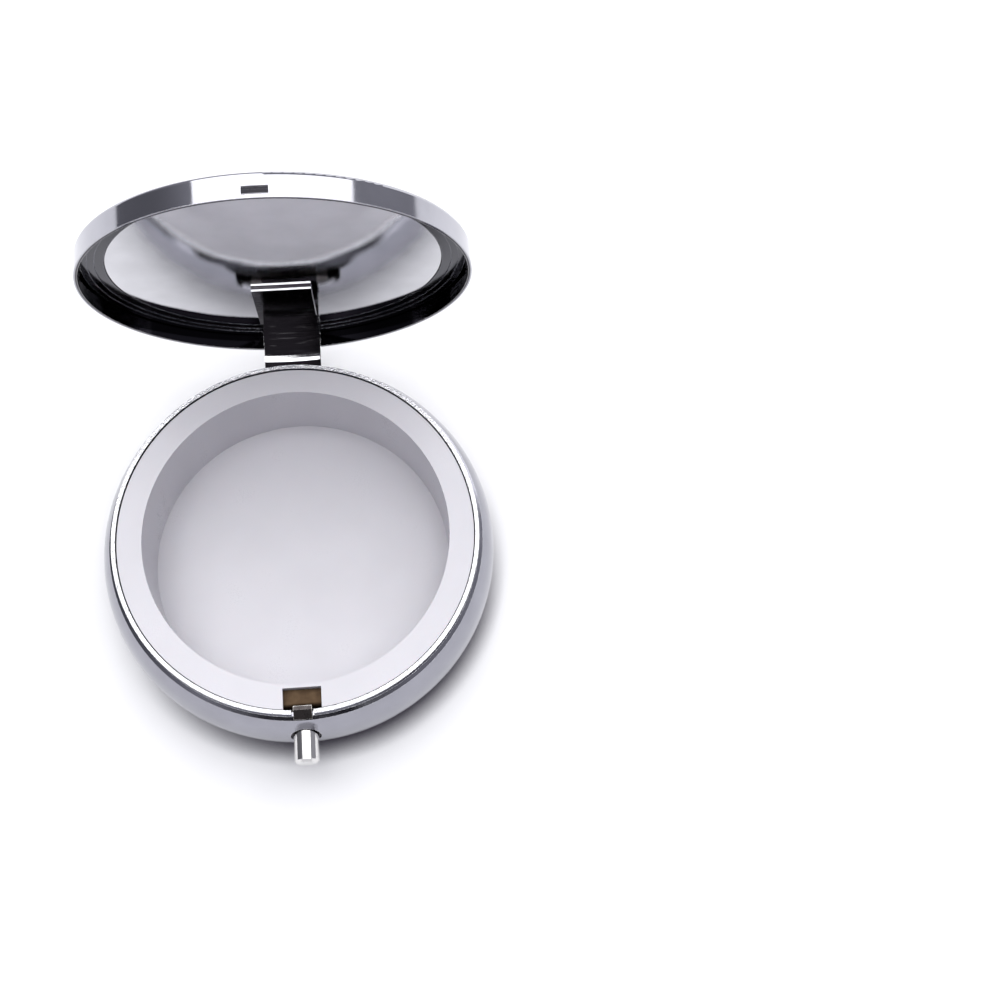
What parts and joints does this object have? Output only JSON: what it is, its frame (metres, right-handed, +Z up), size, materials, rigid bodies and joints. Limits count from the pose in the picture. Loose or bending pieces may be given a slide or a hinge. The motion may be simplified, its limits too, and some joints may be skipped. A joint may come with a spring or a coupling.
{
  "type": "pill box",
  "caption": "Round chrome push-button pill box: white tray in a bulging bowl, hinged lid with a mirror inside and a relief medal on top.",
  "frame": {"origin": "centre of the flat round underside", "axes": "+Z up, +Y towards the hinge, -Y towards the push button; the lid stands open"},
  "size_m": [0.051, 0.0612, 0.0559],
  "materials": {
    "chrome_base": "polished chrome plate",
    "chrome_lid": "polished chrome plate",
    "chrome_hinge": "polished chrome plate",
    "mirror": "bright mirror",
    "chrome_bezel": "polished",
    "white_plastic": "satin moulded plastic",
    "steel_pin": "drawn wire",
    "spring_steel": "blued strip",
    "spring_brass": "dull phosphor bronze",
    "button_chrome": "turned and plated",
    "medal_metal": "bright cast metal",
    "black_enamel": "black antique fill",
    "glue": "clear glue film"
  },
  "bodies": {
    "base": {"base_shell": "chrome_base", "liner_tray": "white_plastic", "hinge_bracket": "chrome_hinge", "hinge_pin": "steel_pin", "lift_spring": "spring_steel", "latch_guide": "spring_steel", "latch_spring": "spring_brass"},
    "lid": {"lid_shell": "chrome_lid", "mirror_plate": "mirror", "mirror_bezel": "chrome_bezel", "hinge_strap": "chrome_hinge", "medal_glue": "glue", "medal_disc": "medal_metal", "enamel_band": "black_enamel", "enamel_field": "black_enamel"},
    "latch": {"push_button": "button_chrome", "latch_hook": "button_chrome"}
  },
  "joints": [
    {"name": "lid_hinge", "type": "hinge", "parent": "base", "child": "lid", "pos_m": [0, 0.0235, 0.0078], "axis": [1, 0, 0], "range_deg": [0, 85.6]},
    {"name": "button_slide", "type": "slide", "parent": "base", "child": "latch", "axis": [0, 1, 0], "range_m": [0, 0.001], "stiffness_N_per_m": 600, "deforming": ["latch_spring"]}
  ]
}
